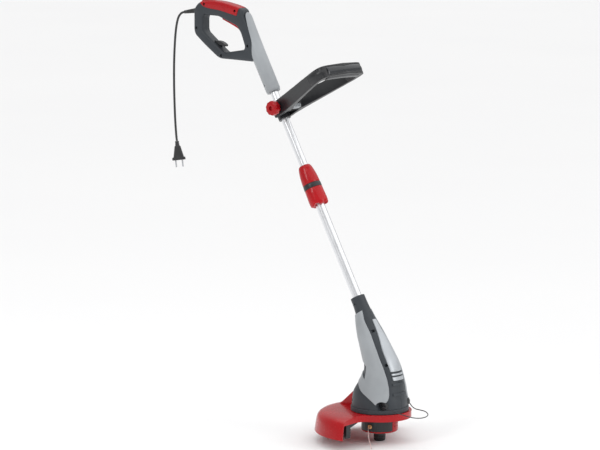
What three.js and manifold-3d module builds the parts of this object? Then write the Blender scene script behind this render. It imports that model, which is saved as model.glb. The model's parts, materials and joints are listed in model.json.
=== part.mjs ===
// Corded string trimmer with a telescopic shaft, a closed rear handle and a tilting front loop handle.
// Millimetres, +Z up, +X to the front of the head, Y across. The origin is the centre of the flat
// underside of the bump knob, on the axis of the cutting head. The shaft leans back towards -X.
import * as THREE from "three";
import { mergeVertices } from "three/addons/utils/BufferGeometryUtils.js";
import Module from "manifold-3d";

const wasm = await Module();
wasm.setup();
const { Manifold, Mesh: SolidMesh } = wasm;

// ---------- driving dimensions ----------
const GAP = 0.3; // clearance between neighbouring pieces
const LEAN = 29.85; // degrees from upright
const SHAFT_FOOT = [-76.8, 0, 362]; // top of the collar of the head, where shaft length 0 is
const UPPER_TUBE_R = 10.4;
const LOWER_TUBE_R = 12;
const TUBE_WALL = 1.2;
const SPOOL_R = 47;
const GUARD_FRONT_R = 81;
const GUARD_REAR_R = 166;
const GUARD_TOP = 80;
const GUARD_FOOT = 27;
const GUARD_LIP = 63.5;
const GUARD_END = 83.8; // degrees from +X towards -Y at which the deep rear skirt ends
const GUARD_FAR_TURN = 26.2; // the far end of the skirt stops this much earlier
const BASE_R = 72;
const HANDLE_THICK = 32;
const PIVOT_UP = 533.3; // height of the front handle's pivot along the shaft
const PIVOT_OUT = 16; // and in front of the shaft's axis
const LOOP_RISE = 28.8; // degrees above level at which the front handle points
const WIRE_AXIS = [50, 102.5]; // x, z of the wire guard's hinge
const CORD_R = 3;

const rad = (degrees) => (degrees * Math.PI) / 180;
const SIN = Math.sin(rad(LEAN)), COS = Math.cos(rad(LEAN));

// ---------- colours ----------
const paint = (color, roughness, metalness) => ({ color, roughness, metalness });
const SLATE = paint(0x3b4045, 0.5, 0);
const LIGHT_GREY = paint(0xa2a7ab, 0.42, 0.05);
const SILVER = paint(0xb4b8bc, 0.35, 0.2);
const RED = paint(0xb0131b, 0.25, 0);
const BLACK = paint(0x17181a, 0.5, 0);
const RUBBER = paint(0x202224, 0.7, 0);
const ALUMINIUM = paint(0xcfd2d6, 0.25, 0.9);
const STEEL = paint(0x8d9196, 0.3, 0.95);
const DARK_STEEL = paint(0x2e3032, 0.4, 0.8);
const BRASS = paint(0xb98245, 0.35, 0.9);
const NYLON = paint(0xcdb4b0, 0.4, 0);
const PLASTIC_PALE = paint(0xd8d8d4, 0.5, 0);

// ---------- solids ----------
function solid(geometry) {
  const loose = geometry.index ? geometry.toNonIndexed() : geometry;
  const bare = new THREE.BufferGeometry().setAttribute("position", loose.getAttribute("position"));
  const merged = mergeVertices(bare, 1e-4);
  const index = merged.index.array, kept = [];
  for (let i = 0; i < index.length; i += 3) {
    const [a, b, c] = [index[i], index[i + 1], index[i + 2]];
    if (a !== b && b !== c && a !== c) kept.push(a, b, c);
  }
  const build = (triangles) => new Manifold(new SolidMesh({
    numProp: 3,
    vertProperties: merged.attributes.position.array,
    triVerts: new Uint32Array(triangles),
  }));
  const made = build(kept);
  if (made.volume() > 0) return made;
  for (let i = 0; i < kept.length; i += 3) [kept[i + 1], kept[i + 2]] = [kept[i + 2], kept[i + 1]];
  return build(kept);
}

const all = (first, ...rest) => rest.reduce((sum, next) => sum.add(next), first);

function box(x0, x1, y0, y1, z0, z1) {
  const shape = new THREE.BoxGeometry(x1 - x0, y1 - y0, z1 - z0);
  return solid(shape.translate((x0 + x1) / 2, (y0 + y1) / 2, (z0 + z1) / 2));
}

// A turned piece about Z. The profile is [radius, z] points; a ring profile is closed here.
function turned(profile, sides = 40) {
  const points = profile.map(([r, z]) => new THREE.Vector2(r, z));
  if (profile[0][0] > 0) points.push(points[0].clone());
  return solid(new THREE.LatheGeometry(points, sides).rotateX(Math.PI / 2));
}

const rod = (r, z0, z1, sides = 32) =>
  solid(new THREE.CylinderGeometry(r, r, z1 - z0, sides).rotateX(Math.PI / 2).translate(0, 0,
    (z0 + z1) / 2));

const pipe = (outer, inner, z0, z1, sides = 32) => rod(outer, z0, z1, sides).subtract(rod(inner, z0 - 1,
  z1 + 1, sides));

// A pin across the object, along Y.
const cross = (r, x, z, y0, y1, sides = 24) =>
  solid(new THREE.CylinderGeometry(r, r, y1 - y0, sides).translate(x, (y0 + y1) / 2, z));

// Corner points [x, z, radius] become a smooth outline.
function eased(corners, steps = 3) {
  const out = [];
  corners.forEach(([x, z, r = 0], i) => {
    if (!r) return out.push(new THREE.Vector2(x, z));
    const here = new THREE.Vector2(x, z);
    const [px, pz] = corners[(i + corners.length - 1) % corners.length];
    const [nx, nz] = corners[(i + 1) % corners.length];
    const back = new THREE.Vector2(px, pz).sub(here), on = new THREE.Vector2(nx, nz).sub(here);
    const a = here.clone().addScaledVector(back.clone().normalize(), Math.min(r, back.length() * 0.48));
    const b = here.clone().addScaledVector(on.clone().normalize(), Math.min(r, on.length() * 0.48));
    for (let k = 0; k <= steps; k++) {
      const t = k / steps;
      out.push(a.clone().multiplyScalar((1 - t) ** 2).addScaledVector(here,
        2 * t * (1 - t)).addScaledVector(b, t * t));
    }
  });
  return out;
}

// An outline in the XZ plane pushed along Y from y0 to y1, its edges rounded by `round`, grown by `grow`.
function slab(corners, y0, y1, { hole = null, round = 0, grow = 0, steps = 3 } = {}) {
  const rim = eased(corners, steps);
  const shape = new THREE.Shape(THREE.ShapeUtils.isClockWise(rim) ? rim.reverse() : rim);
  if (hole) shape.holes.push(new THREE.Path(eased(hole, steps)));
  const made = new THREE.ExtrudeGeometry(shape, {
    depth: y1 - y0 - 2 * round,
    bevelEnabled: round > 0 || grow !== 0,
    bevelThickness: Math.max(round, 0.001),
    bevelSize: round,
    bevelOffset: grow - round,
    bevelSegments: round > 0 ? 2 : 1,
    curveSegments: 4,
  });
  return solid(made.rotateX(Math.PI / 2).translate(0, y1 - round, 0));
}

// An outline in the XY plane pushed up from z0 to z1.
function floorPlan(corners, z0, z1, round = 0) {
  const made = new THREE.ExtrudeGeometry(new THREE.Shape(eased(corners)), {
    depth: z1 - z0 - 2 * round,
    bevelEnabled: round > 0,
    bevelThickness: round,
    bevelSize: round,
    bevelOffset: -round,
    bevelSegments: 2,
  });
  return solid(made.translate(0, 0, z0 + round));
}

// A round rod that follows a smooth line through the points.
function bent(points, radius, sides = 8, steps = 40) {
  const line = new THREE.CatmullRomCurve3(points.map((p) => new THREE.Vector3(...p)), false, "centripetal");
  const ring = [];
  for (let i = 0; i < sides; i++) {
    const a = (2 * Math.PI * i) / sides;
    ring.push(new THREE.Vector2(radius * Math.cos(a), radius * Math.sin(a)));
  }
  return solid(new THREE.ExtrudeGeometry(new THREE.Shape(ring),
    { steps, bevelEnabled: false, extrudePath: line }));
}

// A value between the rows of a table, smoothly, at 0..1 along it.
function between(rows, t) {
  const at = t * (rows.length - 1), i = Math.min(Math.floor(at), rows.length - 2), f = at - i;
  const row = (k) => rows[Math.max(0, Math.min(rows.length - 1, k))];
  return rows[0].map((_, c) => {
    const [a, b, d, e] = [row(i - 1)[c], row(i)[c], row(i + 1)[c], row(i + 2)[c]];
    return 0.5 * (2 * b + (d - a) * f + (2 * a - 5 * b + 4 * d - e) * f * f + (3 * b - a - 3 * d + e) *
      f ** 3);
  });
}

// A body through sections [x, z, tilt, half depth, half width], each an ellipse about (x, 0, z).
function lofted(rows, grow = 0, sides = 28, steps = rows.length - 1) {
  const shape = new THREE.CylinderGeometry(1, 1, 1, sides, steps);
  const place = shape.getAttribute("position");
  for (let i = 0; i < place.count; i++) {
    const [x, z, tilt, deep, wide] = between(rows, 0.5 - place.getY(i));
    const out = place.getX(i) * (deep + grow), side = place.getZ(i) * (wide + grow);
    place.setXYZ(i, x + out * Math.cos(rad(tilt)), side, z + out * Math.sin(rad(tilt)));
  }
  return solid(shape);
}

const onShaft = (made, up = 0) =>
  made.translate([0, 0, up]).rotate([0, -LEAN, 0]).translate(SHAFT_FOOT);
const shaftPoint = (up, out = 0) =>
  [SHAFT_FOOT[0] - SIN * up + COS * out, SHAFT_FOOT[2] + COS * up + SIN * out];
const mirrored = (made) => made.mirror([0, 1, 0]);
const turnedTo = (made, degrees) => made.rotate([0, 0, degrees]);

// ---------- the group ----------
const trimmer = new THREE.Group();
trimmer.name = "string_trimmer";

function add(name, made, look, slack = 0.12) {
  const mesh = made.asOriginal().simplify(slack).getMesh();
  const geometry = new THREE.BufferGeometry();
  const places = new Float32Array((mesh.vertProperties.length / mesh.numProp) * 3);
  for (let i = 0; i < places.length / 3; i++)
    for (let k = 0; k < 3; k++) places[3 * i + k] = mesh.vertProperties[i * mesh.numProp + k];
  geometry.setAttribute("position", new THREE.BufferAttribute(places, 3));
  geometry.setIndex(new THREE.BufferAttribute(new Uint32Array(mesh.triVerts), 1));
  const piece = new THREE.Mesh(geometry, new THREE.MeshStandardMaterial(look));
  piece.name = name;
  trimmer.add(piece);
}

// A screw across the seam of two half shells, head on the -Y side, and the bore it sits in.
const seamScrew = (x, z, head, tip = 7.5) =>
  all(cross(3.3, x, z, head, head + 2.4, 10), cross(1.5, x, z, head + 2, tip, 6));
const seamBore = (x, z, head, face, tip = 8) =>
  all(cross(3.9, x, z, face, head + 2.7, 12), cross(2.1, x, z, head, tip, 6));

// =====================================================================================
// Head: the lofted housing that runs from the collar on the shaft to the base
// =====================================================================================
const HEAD_ROWS = [
  [-76.8, 362, 29.85, 18.7, 18.7],
  [-66.5, 344, 29.85, 19, 19],
  [-57, 326, 29.85, 20.8, 20.8],
  [-49, 306, 29, 25.5, 25.5],
  [-36, 279, 26, 31, 31],
  [-23, 255, 22, 35, 35],
  [-11, 232, 18, 38.5, 38.5],
  [1, 209, 13, 42.3, 42.3],
  [7, 190, 8, 46.3, 46.3],
  [8, 172, 4, 51.5, 51.5],
  [6, 156, 1, 57.5, 57.5],
  [3, 142, 0, 63, 63],
  [0, 128, 0, 67.5, 67.5],
  [0, 110, 0, 70.6, 70.6],
  [0, 92, 0, BASE_R, BASE_R],
];
const HOLLOW_ROWS = [...HEAD_ROWS.slice(3), [0, 80, 0, BASE_R, BASE_R]];
const headOuter = (grow) => lofted(HEAD_ROWS, grow);
const aboveBase = box(-200, 200, -200, 200, 91.99, 500);

// The light side cover: its outline from the side, its rear air slot, and the skin it is cut from.
const coverFace = [
  [-46, 333], [-34, 309, 8], [-11, 279, 8], [17.5, 233, 8], [39.5, 197, 8], [51, 170, 8], [57.5, 146, 8],
  [59.5, 128, 6], [59, 113, 6], [50, 103, 4], [42, 103, 3], [30, 114.5, 6], [18, 123.5, 8], [5, 131, 10],
  [-8, 138, 10], [-21, 147.5, 10], [-45, 163], [-110, 185], [-110, 292], [-94, 301.4],
];
const slotFace = [[-5, 164], [-8, 197, 3], [-27, 206, 4], [-80, 210], [-80, 190], [-29, 178, 4]];
const HEAD_SCREWS = [[-9.5, 284, -8], [41.5, 203.2, -12], [-48, 106, -41]];
const bossPocket = (r) => all(
  cross(r, WIRE_AXIS[0], WIRE_AXIS[1], 36, 80, 28), cross(r, WIRE_AXIS[0], WIRE_AXIS[1], -80, -36, 28));
const coverSkin = headOuter(2.4).subtract(headOuter(GAP));
const screwWells = all(...HEAD_SCREWS.map(([x, z]) => cross(4.5, x, z, -80, -2, 16)));
const coverLeft = coverSkin
  .intersect(slab(coverFace, -120, -0.2))
  .subtract(slab(slotFace, -120, 5))
  .subtract(bossPocket(11.5))
  .subtract(cross(1.8, -53, 263, -60, 0, 12))
  .subtract(screwWells);
add("side_cover_left", coverLeft, LIGHT_GREY);
add("side_cover_right", mirrored(coverLeft), LIGHT_GREY);

// The silver spine down the front, and two ribs below it on a thinner web.
const spineOutline = [
  [-6, 312, 3], [-8.5, 290, 10], [-14, 262, 10], [-19.5, 238, 12], [-21.5, 210, 10], [-20, 190, 6],
    [-19, 165.5, 2],
  [19, 165.5, 2], [20, 190, 6], [21.5, 210, 10], [19.5, 238, 12], [14, 262, 10], [8.5, 290, 10], [6, 312, 3],
];
const spineZone = slab(spineOutline, -160, 100).rotate([0, 0, 90])
  .intersect(slab([[-50, 330], [8, 160], [160, 160], [160, 330]], -60, 60));
const spineBand = (low, high) => box(-100, 200, -99, 99, low, high).intersect(spineZone);
const spine = all(
  headOuter(2.6).subtract(headOuter(GAP)).intersect(spineBand(187.5, 330)),
  headOuter(1.3).subtract(headOuter(GAP)).intersect(spineBand(165, 190)),
  headOuter(3.4).subtract(headOuter(1)).intersect(all(spineBand(178.5, 182), spineBand(165.5, 174))),
);
add("front_cover", spine, SILVER);

// Two dark half shells: hollow, open at the foot, solid round the tube, with screw posts and low ribs.
const ribZone = all(box(0, 120, -22, 22, 154, 158), box(0, 120, -23.5, 23.5, 128, 132));
const posts = all(...HEAD_SCREWS.map(([x, z]) => cross(5.4, x, z, -99, 99, 16)));
let shell = headOuter(0).subtract(lofted(HOLLOW_ROWS, -3, 20, 8));
shell = shell.add(posts.intersect(headOuter(-0.5)).intersect(aboveBase));
shell = shell.add(headOuter(2).subtract(headOuter(-1)).intersect(ribZone));
shell = shell
  .intersect(box(-200, 200, -200, 200, 92, 400))
  .subtract(onShaft(rod(LOWER_TUBE_R + GAP, -82, 10)))
  .subtract(bossPocket(11.2));
HEAD_SCREWS.forEach(([x, z, head]) => { shell = shell.subtract(seamBore(x, z, head, -80)); });
for (let i = 0; i < 2; i++) // air slots in the rear, under the side covers' slot
  shell = shell.subtract(box(-90, -30, -20, 20, 190 + 7 * i, 193 + 7 * i));
add("head_shell_left", shell.intersect(box(-300, 300, -300, -0.15, 0, 500)), SLATE);
add("head_shell_right", shell.intersect(box(-300, 300, 0.15, 300, 0, 500)), SLATE);
HEAD_SCREWS.forEach(([x, z, head], i) => add(`head_screw_${i + 1}`, seamScrew(x, z, head), STEEL));

// Base flange that carries the motor and bolts down on the guard.
const flange = turned([
  [14, 80.3], [73.6, 80.3], [74.6, 81.3], [74.2, 90.7], [73.2, 91.7], [66, 91.7], [66, 85.3],
    [14, 85.3]], 40)
  .subtract(bossPocket(11.2));
const GUARD_SCREWS = [90, 210, 330];
const ringSpot = (made, degrees, r) => turnedTo(made.translate([r, 0, 0]), degrees);
add("base_flange", GUARD_SCREWS.reduce((f, a) => f.subtract(ringSpot(rod(2.1, 70, 84.6, 10), a, 52)),
  flange), SLATE);

// Hinge bosses of the wire guard, one each side.
const boss = cross(10.9, WIRE_AXIS[0], WIRE_AXIS[1], -47.5, -36.4, 24)
  .subtract(cross(1.9, WIRE_AXIS[0], WIRE_AXIS[1], -60, -39, 14))
  .subtract(cross(7.5, WIRE_AXIS[0], WIRE_AXIS[1], -60, -46, 16));
add("wire_boss_left", boss, BLACK);
add("wire_boss_right", mirrored(boss), BLACK);

// =====================================================================================
// Guard: a round plate in front, a deep skirt behind, a lip all round and a fairing up to the base
// =====================================================================================
const polar = (r, degrees) => [r * Math.cos(rad(degrees)), r * Math.sin(rad(degrees))];
function guardOutline(inset) {
  const front = GUARD_FRONT_R - inset, rear = GUARD_REAR_R + 20 - inset;
  const end = (r) => { const [x, y] = polar(r, GUARD_END); return [x - inset, y]; };
  const corner = [[22.5 - inset, 80.5], [16 - inset, 88.5], [12.6 - inset, 97], end(108), end(rear)];
  const turn = ([x, y]) => new THREE.Vector2(x, y).rotateAround(new THREE.Vector2(),
    rad(GUARD_FAR_TURN)).toArray();
  const rim = [];
  for (let a = -66; a <= 92; a += 6) rim.push(polar(front, a)); // steps of six degrees
  rim.push(...corner.map(turn));
  for (let a = 120; a <= 270; a += 15) rim.push(polar(rear, a));
  return [...rim, ...corner.reverse().map(([x, y]) => [x, -y])];
}
const domeOuter = turned([
  [0, GUARD_FOOT], [GUARD_REAR_R + 0.5, GUARD_FOOT], [164, 45], [161.5, 60], [158, 69], [150, 75.3],
    [125, 79],
  [90, GUARD_TOP], [0, GUARD_TOP]], 72);
const domeInner = turned([
  [0, 10], [165.8, 10], [163.4, 27], [160.8, 45], [158.4, 59.5], [155, 67.6], [148.5, 72.3], [124, 75.8],
  [90, GUARD_TOP - 3.2], [0, GUARD_TOP - 3.2]], 72);
const outside = floorPlan(guardOutline(0), -10, 140);
const inside = floorPlan(guardOutline(3), -20, 150);
const lip = outside.subtract(inside).intersect(domeOuter).intersect(box(-300, 300, -300, 300, GUARD_LIP,
  100));
const bead = turned([[78.2, 78.6], [80.6, 78.6], [81.6, 80], [80.4, 81.2], [78.2, 80.2]], 60)
  .intersect(box(36, 200, -200, 200, 0, 200));
const fairingFace = [[-146, 55], [-132, 78], [-119, 87, 8], [-94, 109, 12], [-74, 126, 4], [-60, 127],
  [-60, 55]];
const fairingCore = [[-124, 70], [-116, 83.5], [-92, 105], [-80, 115.5], [-79, 70]];
const baseRoom = all(headOuter(0.8).intersect(aboveBase), rod(75.4, 79, 92.8, 48));
let guard = all(
  domeOuter.subtract(domeInner).intersect(outside), lip, bead,
  slab(fairingFace, -9, 9, { round: 3 }).intersect(box(-300, 0, -50, 50, 77, 200)).subtract(baseRoom),
).subtract(slab(fairingCore, -5.5, 5.5)).subtract(rod(20, 60, 100)).subtract(box(-60, 200, -60, 60,
  80.01, 140)
  .intersect(rod(76, 80.01, 140, 48)));
guard = GUARD_SCREWS.reduce((g, a) => g.subtract(ringSpot(rod(2.1, 70, 90, 10), a, 52)), guard);
add("guard", guard, RED);
GUARD_SCREWS.forEach((a, i) => add(
  `guard_screw_${i + 1}`, ringSpot(all(rod(3.8, 74.2, 76.5, 10), rod(1.8, 76, 84, 6)), a, 52), STEEL));

// Line cutter: a ribbed black holder under the guard and a pointed blade towards the head.
const CUTTER_TURN = -87.2;
const atCutter = (made) => turnedTo(made, CUTTER_TURN);
const holderSteps = all(...[32, 40, 48, 56].map((z) => box(125.4, 142.6, -5, 5, z, z + 3.4)));
const holder = all(box(126, 142, -4.4, 4.4, 28, 72.7), holderSteps)
  .subtract(box(124, 139, -1.15, 1.15, 52, 66.4));
add("blade_holder", atCutter(holder), BLACK);
add("line_blade", atCutter(slab(
  [[137.5, 52.6], [137.5, 65.2], [120, 65.2], [92, 61], [92, 60.2], [120, 52.6]], -0.8, 0.8)), STEEL);

// Wire guard: one bent steel wire whose ends turn in to the bosses.
const wirePath = [
  [50, -40.5, 102.5], [50, -47.2, 102.5], [52.5, -51.5, 102.3], [60, -53, 101.5], [72, -52.3, 99],
    [86, -51.3, 96],
  [104, -49.8, 92.8], [120, -46, 89.5], [131.5, -36, 85], [138, -19, 80.5], [138.5, 4, 77.5], [134, 26, 77],
  [125, 42, 79], [110, 49.5, 82.5], [92, 51, 83.5], [76, 52, 84], [64, 53.6, 87.5], [56, 53.6, 94.5],
  [52, 51.5, 101], [50, 47.2, 102.5], [50, 40.5, 102.5]];
add("wire_guard", bent(wirePath, 1.25, 6, 60), DARK_STEEL);

// =====================================================================================
// Motor, fan and cutting head, all about the Z axis
// =====================================================================================
const canProfile = [
  [5, 85.7], [30, 85.7], [31, 87], [31, 148], [28, 151], [10, 151], [10, 155], [5, 155], [5, 147],
    [24, 147], [24, 89],
  [5, 89]];
add("motor_can", turned(canProfile, 20), STEEL);
add("motor_shaft", rod(4.4, 50, 176, 16).add(rod(2.6, 46, 51, 16)), STEEL);
const fanBlades = all(...[0, 60, 120, 180, 240, 300].map((a) => turnedTo(box(8, 30, -1, 1, 162, 171),
  a + 15)));
add("cooling_fan", all(pipe(9, 4.7, 158, 172, 16), pipe(30.5, 4.7, 158, 161, 24), fanBlades), BLACK);

const cupTop = 69;
let cup = turned([
  [4.7, cupTop], [46, cupTop], [SPOOL_R, cupTop - 1], [SPOOL_R, 30.6], [44.4, 30.6], [44.4, 66.4],
    [10, 66.4],
  [10, 46], [8.6, 44], [4.7, 44]], 32);
const LATCH_TURNS = [16.5, 196.5];
const EYELET_TURN = -80.8;
LATCH_TURNS.forEach((a) => { cup = cup.subtract(turnedTo(box(40, 60, -17.3, 17.3, 20, 62.3), a)); });
cup = cup.subtract(turnedTo(solid(new THREE.CylinderGeometry(4.3, 4.3, 20, 20)
  .rotateZ(Math.PI / 2).translate(46, 0, 43)), EYELET_TURN));
for (const a of [65, 90, 115, 140, 245, 305]) // shallow flutes, off the eyelet and the latches
  cup = cup.subtract(turnedTo(box(46.4, 50, -1.5, 1.5, 34, 58), a));
add("spool_housing", cup, BLACK);
const capFloor = turned([
  [17, 24.6], [20, 24.2], [21.5, 26.3], [44.5, 26.5], [SPOOL_R - 0.4, 28], [SPOOL_R - 0.2, 30.3],
    [43.9, 30.3],
  [17, 30.3]], 32);
const latch = pipe(SPOOL_R, 44.4, 29, 62, 32);
const latches = all(...LATCH_TURNS.map((a) => latch.intersect(turnedTo(box(40, 60, -17, 17, 20, 90), a))));
const latchRidges = all(...LATCH_TURNS.flatMap((a) => [40, 48].map((z) =>
  pipe(SPOOL_R + 0.8, 45, z, z + 2, 32).intersect(turnedTo(box(40, 60, -9, 9, 20, 90), a)))));
add("spool_cap", all(capFloor, latches, latchRidges), RED);
const eyeletRing = turned([[1.9, 0], [3.9, 0], [3.9, 3], [5.7, 3], [5.9, 3.9], [4.6, 4.9], [2.4, 4.9],
  [1.9, 4.2]], 14)
  .rotate([0, 90, 0]).translate([44.3, 0, 43]);
add("line_eyelet", turnedTo(eyeletRing, EYELET_TURN), BRASS);

const reel = turned([
  [11, 31.2], [16, 31.2], [16, 32.6], [41, 32.6], [41, 34.2], [17.5, 34.2], [17.5, 55], [41, 55],
    [41, 56.6], [11, 56.6]],
  20);
add("line_reel", reel, PLASTIC_PALE);
add("line_winding", turned([
  [17.8, 34.6], [33, 34.6], [34.5, 38], [33.4, 42], [34.5, 46], [33.4, 50], [33, 54.6], [17.8, 54.6]],
    20), NYLON);
const knob = turned([
  [0, 0], [12.6, 0], [15, 2.6], [15.4, 6], [14.6, 7], [15.4, 8], [15.4, 12], [14.6, 13], [15.4, 14],
    [15.4, 30.9],
  [8.5, 30.9], [8.5, 20], [0, 20]], 24);
add("bump_knob", knob, BLACK);
const coil = [];
for (let i = 0; i <= 48; i++) {
  const a = (i / 48) * 3 * 2 * Math.PI;
  coil.push([12.9 * Math.cos(a), 12.9 * Math.sin(a), 58 + (i / 48) * 7.2]);
}
add("bump_spring", bent(coil, 0.7, 5, 40), STEEL);

// The loose end of the cutting line, out of the eyelet and down in front of the head.
const linePath = [
  [7.2, -44.6, 43], [7.9, -48.6, 43], [9.5, -54, 42.3], [17, -64, 38.5], [27.5, -75.5, 30],
    [39.5, -86, 19.5],
  [52, -95, 9], [60, -100.5, 2.6]];
add("cutting_line", bent(linePath, 0.9, 7, 24), NYLON);

// =====================================================================================
// Shaft: two tubes and the twist lock between them
// =====================================================================================
add("lower_tube", onShaft(pipe(LOWER_TUBE_R, LOWER_TUBE_R - TUBE_WALL, -78, 322)), ALUMINIUM);
add("upper_tube", onShaft(pipe(UPPER_TUBE_R, UPPER_TUBE_R - TUBE_WALL, 150, 700)), ALUMINIUM);
const lowSleeve = turned([
  [12.3, 259], [19.5, 258], [23.8, 262], [24.6, 272], [24, 290], [23.6, 305.6], [12.3, 305.6]], 32);
const scallops = all(...[0, 90, 180, 270].map((a) => turnedTo(
  solid(new THREE.CylinderGeometry(12, 12, 20, 16).rotateZ(Math.PI / 2).translate(24, 0, 251)), a + 20)));
add("lock_sleeve", onShaft(lowSleeve.subtract(scallops)), RED);
add("lock_ring", onShaft(turned([
  [12.3, 306], [23.6, 306], [24, 307.5], [23.4, 318.6], [12.3, 318.6]], 32)), BLACK);
add("lock_collet", onShaft(turned([
  [UPPER_TUBE_R + GAP, 322.4], [17.5, 322.4], [17.5, 336], [14.2, 349], [UPPER_TUBE_R + GAP, 349]], 24)
  .subtract(all(box(0, 30, -0.8, 0.8, 327, 360), turnedTo(box(0, 30, -0.8, 0.8, 327, 360), 120),
    turnedTo(box(0, 30, -0.8, 0.8, 327, 360), 240)))), PLASTIC_PALE);
let nut = turned([
  [18, 319], [23, 319], [23.2, 324], [22.6, 336], [21, 348], [18.6, 360], [15.6, 368], [13.2, 371],
    [10.7, 371],
  [10.7, 352], [14.6, 350], [18, 337]], 32);
for (let a = 0; a < 360; a += 45) // finger flutes
  nut = nut.subtract(turnedTo(rod(2.6, 322, 380, 8).rotate([0, -7, 0]).translate([66.4, 0, 0]), a));
add("lock_nut", onShaft(nut), RED);

// =====================================================================================
// Rear handle: two half shells, grey neck cover, red grip insert, trigger and switch
// =====================================================================================
const at = (up, out) => shaftPoint(up, out);
const handleOutline = [
  [-644, 1073, 13], [-624, 1091.7, 14], [-576, 1096.5, 30], [-543, 1094, 20], [-518, 1090, 20],
    [-491, 1085, 14],
  [-469, 1077.5, 8], at(802, 13), at(586, 15), at(584, -18), at(681, -18.5),
  [-507, 944.5, 20], [-553, 944.5, 14], [-604, 977, 14], [-644, 1006, 14]];
const fingerGap = [
  [-612, 1049, 7], [-607, 1057, 5], [-556, 1056, 4], [-489, 1034, 3],
  [-474, 1018, 12], [-459, 981, 5], [-463, 973, 5], [-535, 961, 6], [-571, 985, 6], [-612, 1014, 8]];
const handleBlank = (grow) =>
  slab(handleOutline, -HANDLE_THICK / 2 - grow, HANDLE_THICK / 2 + grow, { hole: fingerGap,
    round: 6.5 + grow, grow });

const neckOuter = (grow) => onShaft(turned([
  [0, 582 - grow], [13 + grow, 582 - grow], [17.2 + grow, 584], [19.2 + grow, 590], [19.4 + grow, 700],
  [20.4 + grow, 760], [21.6 + grow, 795], [19.6 + grow, 806], [14 + grow, 811.5 + grow],
    [0, 812 + grow]], 32));
const neckInner = (grow) => onShaft(turned([
  [0, 584.6 - grow], [15.4 + grow, 584.6 - grow], [16.8 + grow, 592], [17 + grow, 700], [18 + grow, 760],
  [19 + grow, 795], [16 + grow, 806], [0, 809 + grow]], 32));
const neckZone = (shift) => [
  [...at(830, 24.5 + shift)], [...at(807, 19.5 + shift)], [...at(770, 14 + shift)],
    [...at(722, 8.5 + shift), 12],
  [...at(697, -6 + shift), 12], [...at(683 - shift, -17), 6], [...at(681 - shift, -40)], [...at(560, -40)],
  [...at(560, 60)], [...at(830, 60)]];
const neckSolid = neckOuter(0).intersect(slab(neckZone(0.2), -60, 60));
const spineSlot = onShaft(box(-60, 0, -7.4, 7.4, 560, 700));
const tubeBore = onShaft(rod(UPPER_TUBE_R + GAP, 560, 701));
const neckHole = cross(2.6, -386, 884, -60, -2, 14);
add("neck_cover",
  neckSolid.subtract(neckInner(0)).subtract(spineSlot).subtract(tubeBore).subtract(neckHole), LIGHT_GREY);

const insertFace = [
  [-625, 1120], [-622, 1091, 4], [-610, 1081, 4], [-592, 1076, 8], [-550, 1072.5, 8], [-522, 1067.5, 8],
  [-486, 1060.5, 3], [-480, 1078, 2], [-478, 1120]];
const INSERT_SCREWS = [[-604.8, 1085.5], [-493, 1073]];
const insertCut = slab(insertFace, -60, 60,
  { grow: GAP }).intersect(handleBlank(4)).subtract(handleBlank(-2.3));
const insertSkin = slab(insertFace, -60, 60).intersect(handleBlank(0.7)).subtract(handleBlank(-2));

// Lock-off button on top of the grip and the pocket under it.
const buttonFace = [
  [-622, 1090.5], [-622, 1095.8, 3], [-600, 1098.6, 8], [-579, 1098.6, 3], [-577, 1090.5]];
const buttonRoom = slab(buttonFace, -6.3, 6.3, { grow: GAP })
  .add(slab([[-622.3, 1087.2], [-622.3, 1094], [-576.7, 1096], [-576.7, 1087.2]], -6.3, 6.3));
add("lock_off_button", slab(buttonFace, -6, 6, { round: 1 }), RED);

const triggerFace = [
  [-547, 1048, 2], [-520, 1038.5, 8], [-490, 1027, 6], [-475, 1014.5, 2], [-471, 1017, 2], [-473.5, 1034, 4],
  [-488, 1047, 3], [-512, 1056, 2], [-546, 1063.5, 2]];
const TRIGGER_PIN = [-489, 1041];
const triggerRoom = slab([
  [-550, 1040], [-550, 1073], [-509, 1062], [-478, 1052.5], [-468.5, 1040], [-468.5, 1011],
    [-480, 1009]], -7.5, 7.5);
add("trigger", slab(triggerFace, -7, 7, { round: 1.2, steps: 2 }).add(cross(1.7, ...TRIGGER_PIN, -10.5,
  10.5, 12)), RED);
add("switch_body", slab([[-546, 1070], [-546, 1081], [-514, 1077], [-514, 1063]], -6, 6, { round: 0.8 }),
  BLACK);

const hookFace = [
  [-592, 983], [-576, 990, 3], [-560, 990.5, 6], [-547, 987, 5], [-537, 981, 3], [-538.5, 975.5, 2.5],
  [-549, 979, 4], [-557, 978.5, 5], [-563, 971, 4], [-574, 962], [-586, 969]];
add("cable_hook", slab(hookFace, -6.5, 6.5, { round: 0.9, steps: 2 }), BLACK);
const hookRoom = slab(hookFace, -6.9, 6.9, { grow: GAP, steps: 2 });
const cordSlot = slab([[-609, 1008], [-581, 989], [-587, 980], [-615, 999]], -6, 6);

const HANDLE_SCREWS = [[-633, 1021], [-543, 953], [-447.5, 984]];
let handle = handleBlank(0)
  .subtract(neckOuter(GAP).intersect(slab(neckZone(0), -60, 60)))
  .subtract(onShaft(box(-60, 60, -60, 60, 560, 683)).subtract(neckOuter(GAP)))
  .subtract(onShaft(box(-40, 40, -40, 40, 560, 592)))
  .add(neckInner(-GAP).intersect(slab(neckZone(-3), -60, 60)))
  .add(onShaft(box(-19.4, -6, -7, 7, 585, 700)).intersect(neckOuter(1.2)))
  .subtract(tubeBore)
  .subtract(insertCut)
  .subtract(buttonRoom)
  .subtract(triggerRoom)
  .subtract(cross(2, ...TRIGGER_PIN, -10.9, 10.9, 14))
  .subtract(slab([[-549, 1062], [-549, 1083.5], [-510, 1079.5], [-510, 1055]], -6.4, 6.4))
  .subtract(hookRoom)
  .subtract(cordSlot)
  .subtract(neckHole);
[...HANDLE_SCREWS, ...INSERT_SCREWS].forEach(([x, z]) => { handle = handle.subtract(seamBore(x, z,
  -10.5, -40)); });
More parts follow.
